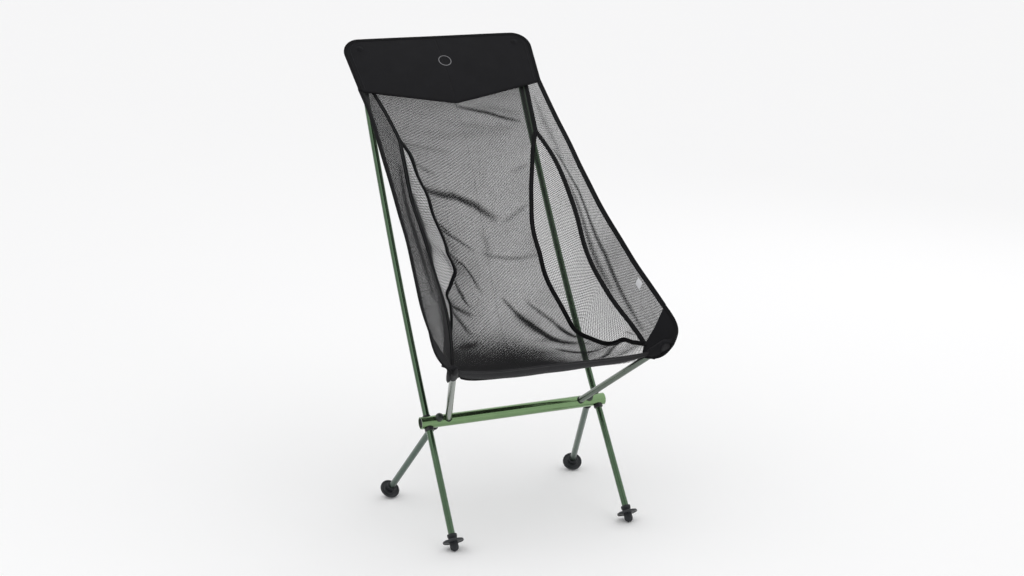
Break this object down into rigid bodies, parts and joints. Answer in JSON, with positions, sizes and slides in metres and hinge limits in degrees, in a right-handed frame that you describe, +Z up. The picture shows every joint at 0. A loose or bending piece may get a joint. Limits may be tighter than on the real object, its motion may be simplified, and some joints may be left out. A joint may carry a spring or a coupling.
{
  "type": "folding camp chair",
  "caption": "High-backed ultralight camp chair: a mesh sling seat with a solid headrest, hung on bowed tent-style poles that plug into one crossbar on four splayed legs.",
  "frame": {"origin": "on the floor, under the middle of the whole chair", "axes": "+Z up, -Y the way the sitter faces, +X towards the sitter's left; the chair is the same on both sides of X = 0"},
  "size_m": [0.4792, 0.6595, 0.8988],
  "materials": {
    "bar_green": "satin anodised",
    "pole_green": "satin anodised",
    "seat_pole_green": "satin anodised",
    "rear_leg_green": "satin anodised",
    "bare_aluminium": "plain",
    "black_plastic": "moulded",
    "cap_plastic": "moulded",
    "disc_plastic": "moulded",
    "foot_rubber": "matte",
    "solid_cloth": "tight ripstop weave",
    "hem_cloth": "tight ripstop weave",
    "seat_mesh": "fine mesh",
    "wing_mesh": "fine mesh",
    "gusset_mesh": "open mesh",
    "binding_tape": "woven tape",
    "label_cloth": "woven label"
  },
  "bodies": {
    "frame": {"crossbar": "bar_green", "headrest": "solid_cloth", "back_mesh": "seat_mesh", "front_hem": "hem_cloth", "label_tag": "label_cloth", "crossbar_plug_left": "black_plastic", "crossbar_plug_right": "black_plastic", "long_pole_socket_left": "black_plastic", "long_pole_socket_right": "black_plastic", "rear_leg_socket_left": "black_plastic", "rear_leg_socket_right": "black_plastic", "rear_socket_cap_left": "cap_plastic", "rear_socket_cap_right": "cap_plastic", "seat_pole_socket_left": "black_plastic", "seat_pole_socket_right": "black_plastic", "back_pole_lower_left": "pole_green", "back_pole_lower_right": "pole_green", "back_pole_upper_left": "pole_green", "back_pole_upper_right": "pole_green", "back_pole_ferrule_left": "bare_aluminium", "back_pole_ferrule_right": "bare_aluminium", "back_pole_tip_left": "black_plastic", "back_pole_tip_right": "black_plastic", "seat_pole_left": "seat_pole_green", "seat_pole_right": "seat_pole_green", "seat_pole_tip_left": "black_plastic", "seat_pole_tip_right": "black_plastic", "side_wing_left": "wing_mesh", "side_wing_right": "wing_mesh", "side_gusset_left": "gusset_mesh", "side_gusset_right": "gusset_mesh", "edge_binding_left": "binding_tape", "edge_binding_right": "binding_tape", "outer_seam_tape_left": "binding_tape", "outer_seam_tape_right": "binding_tape", "inner_seam_tape_left": "binding_tape", "inner_seam_tape_right": "binding_tape"},
    "front_leg_left": {"front_leg_left": "pole_green", "front_foot_left": "foot_rubber", "front_foot_disc_left": "disc_plastic"},
    "rear_leg_left": {"rear_leg_left": "rear_leg_green", "rear_foot_left": "foot_rubber", "rear_foot_disc_left": "disc_plastic"},
    "front_pocket_left": {"front_pocket_left": "solid_cloth"},
    "top_pocket_left": {"top_pocket_left": "solid_cloth"},
    "front_leg_right": {"front_leg_right": "pole_green", "front_foot_right": "foot_rubber", "front_foot_disc_right": "disc_plastic"},
    "rear_leg_right": {"rear_leg_right": "rear_leg_green", "rear_foot_right": "foot_rubber", "rear_foot_disc_right": "disc_plastic"},
    "front_pocket_right": {"front_pocket_right": "solid_cloth"},
    "top_pocket_right": {"top_pocket_right": "solid_cloth"}
  },
  "joints": [
    {"name": "front_leg_pull_left", "type": "slide", "parent": "frame", "child": "front_leg_left", "axis": [0.0113, -0.5878, -0.8089], "range_m": [0, 0.025], "stiffness_N_per_m": 120, "springref_m": -0.1},
    {"name": "rear_leg_pull_left", "type": "slide", "parent": "frame", "child": "rear_leg_left", "axis": [0.168, 0.6399, -0.7499], "range_m": [0, 0.025], "stiffness_N_per_m": 120, "springref_m": -0.1},
    {"name": "front_pocket_pull_left", "type": "slide", "parent": "frame", "child": "front_pocket_left", "axis": [0.2533, -0.7708, 0.5846], "range_m": [0, 0.055], "stiffness_N_per_m": 300, "springref_m": -0.03},
    {"name": "top_pocket_pull_left", "type": "slide", "parent": "frame", "child": "top_pocket_left", "axis": [-0.0125, 0.4524, 0.8917], "range_m": [0, 0.055], "stiffness_N_per_m": 300, "springref_m": -0.03},
    {"name": "front_leg_pull_right", "type": "slide", "parent": "frame", "child": "front_leg_right", "axis": [-0.0113, -0.5878, -0.8089], "range_m": [0, 0.025], "stiffness_N_per_m": 120, "springref_m": -0.1},
    {"name": "rear_leg_pull_right", "type": "slide", "parent": "frame", "child": "rear_leg_right", "axis": [-0.168, 0.6399, -0.7499], "range_m": [0, 0.025], "stiffness_N_per_m": 120, "springref_m": -0.1},
    {"name": "front_pocket_pull_right", "type": "slide", "parent": "frame", "child": "front_pocket_right", "axis": [-0.2533, -0.7708, 0.5846], "range_m": [0, 0.055], "stiffness_N_per_m": 300, "springref_m": -0.03},
    {"name": "top_pocket_pull_right", "type": "slide", "parent": "frame", "child": "top_pocket_right", "axis": [0.0125, 0.4524, 0.8917], "range_m": [0, 0.055], "stiffness_N_per_m": 300, "springref_m": -0.03}
  ]
}
